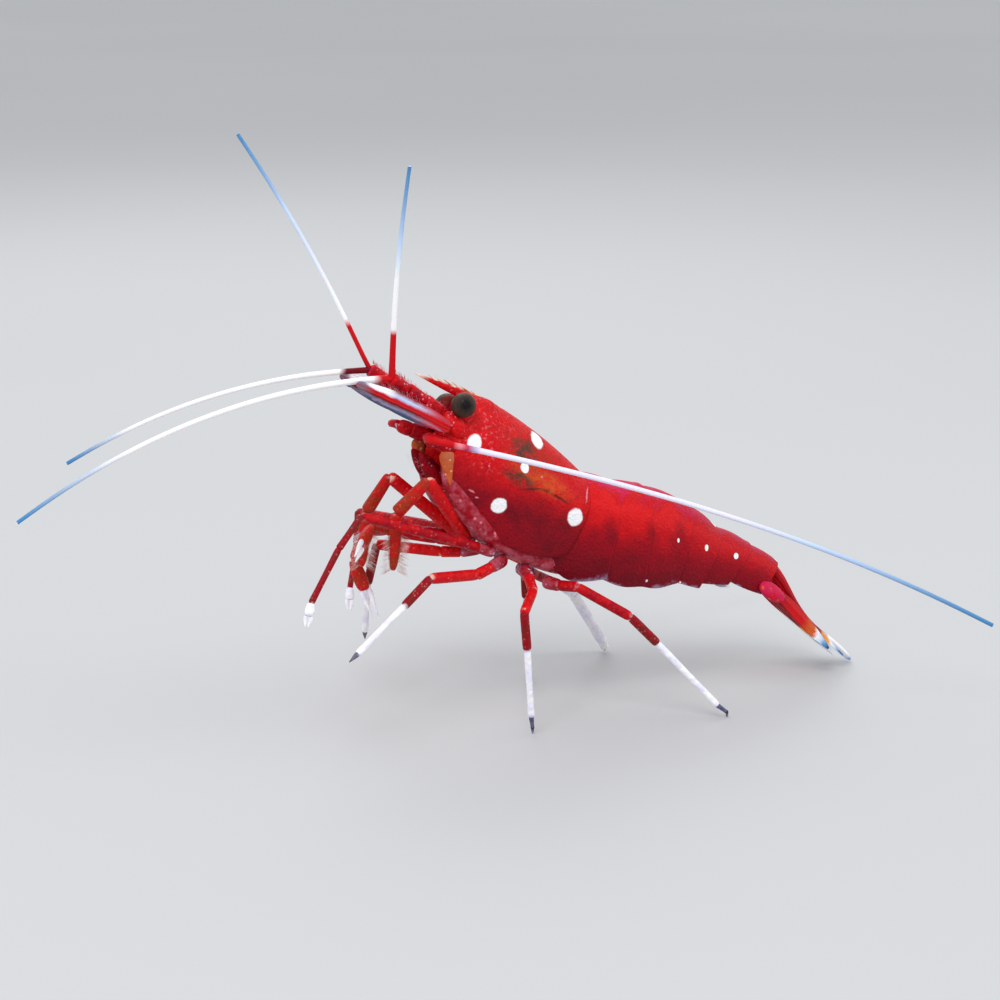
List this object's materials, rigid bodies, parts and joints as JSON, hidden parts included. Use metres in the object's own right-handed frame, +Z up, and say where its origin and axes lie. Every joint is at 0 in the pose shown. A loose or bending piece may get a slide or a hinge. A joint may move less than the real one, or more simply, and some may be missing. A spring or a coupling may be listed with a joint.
{
  "type": "cleaner shrimp",
  "caption": "Life-size still figure of a scarlet cleaner shrimp standing with its head raised, long white feelers spread and its tail fan folded down.",
  "frame": {"origin": "middle of the bounding box on the floor, level with the standing feet", "axes": "-X is where the head points, -Y is the left side of the animal, +Z is up"},
  "size_m": [0.0794, 0.038, 0.048],
  "materials": {
    "shell": "glossy scarlet shell with white spots",
    "beak": "glossy scarlet shell",
    "breast": "dark red soft skin",
    "eye": "glossy olive cornea",
    "stem": "glossy orange red",
    "scale": "glossy red with a white rib and a bluish edge",
    "whip": "glossy white with a lavender tint",
    "jaw_leg": "glossy red with pale bristles",
    "leg_upper": "glossy scarlet",
    "leg_lower": "dark red to glossy white",
    "tail_fan": "red, with an orange, white and dark blue end"
  },
  "bodies": {
    "root": {"carapace": "shell", "somite_1": "shell", "somite_2": "shell", "somite_3": "shell", "somite_4": "shell", "somite_5": "shell", "somite_6": "shell", "rostrum": "beak", "head": "breast", "thorax": "breast", "mouthpart_L": "breast", "mouthpart_R": "breast", "eye_L": "eye", "eye_R": "eye", "antennule_L": "stem", "antennule_R": "stem", "antenna_stem_L": "stem", "antenna_stem_R": "stem", "antennal_scale_L": "scale", "antennal_scale_R": "scale", "antennule_inner_L": "whip", "antennule_inner_R": "whip", "antennule_outer_L": "whip", "antennule_outer_R": "whip", "antenna_L": "whip", "antenna_R": "whip", "antenna_tip_L": "whip", "antenna_tip_R": "whip", "maxilliped_upper_L": "jaw_leg", "maxilliped_upper_R": "jaw_leg", "maxilliped_lower_L": "jaw_leg", "maxilliped_lower_R": "jaw_leg", "leg_1_upper_L": "leg_upper", "leg_1_upper_R": "leg_upper", "leg_2_upper_L": "leg_upper", "leg_2_upper_R": "leg_upper", "leg_3_upper_L": "leg_upper", "leg_3_upper_R": "leg_upper", "leg_4_upper_L": "leg_upper", "leg_4_upper_R": "leg_upper", "leg_5_upper_L": "leg_upper", "leg_5_upper_R": "leg_upper", "leg_1_lower_L": "leg_lower", "leg_1_lower_R": "leg_lower", "leg_2_lower_L": "leg_lower", "leg_2_lower_R": "leg_lower", "leg_3_lower_L": "leg_lower", "leg_3_lower_R": "leg_lower", "leg_4_lower_L": "leg_lower", "leg_4_lower_R": "leg_lower", "leg_5_lower_L": "leg_lower", "leg_5_lower_R": "leg_lower", "telson": "tail_fan", "uropod_endopod_L": "tail_fan", "uropod_endopod_R": "tail_fan", "uropod_exopod_L": "tail_fan", "uropod_exopod_R": "tail_fan"}
  },
  "joints": []
}
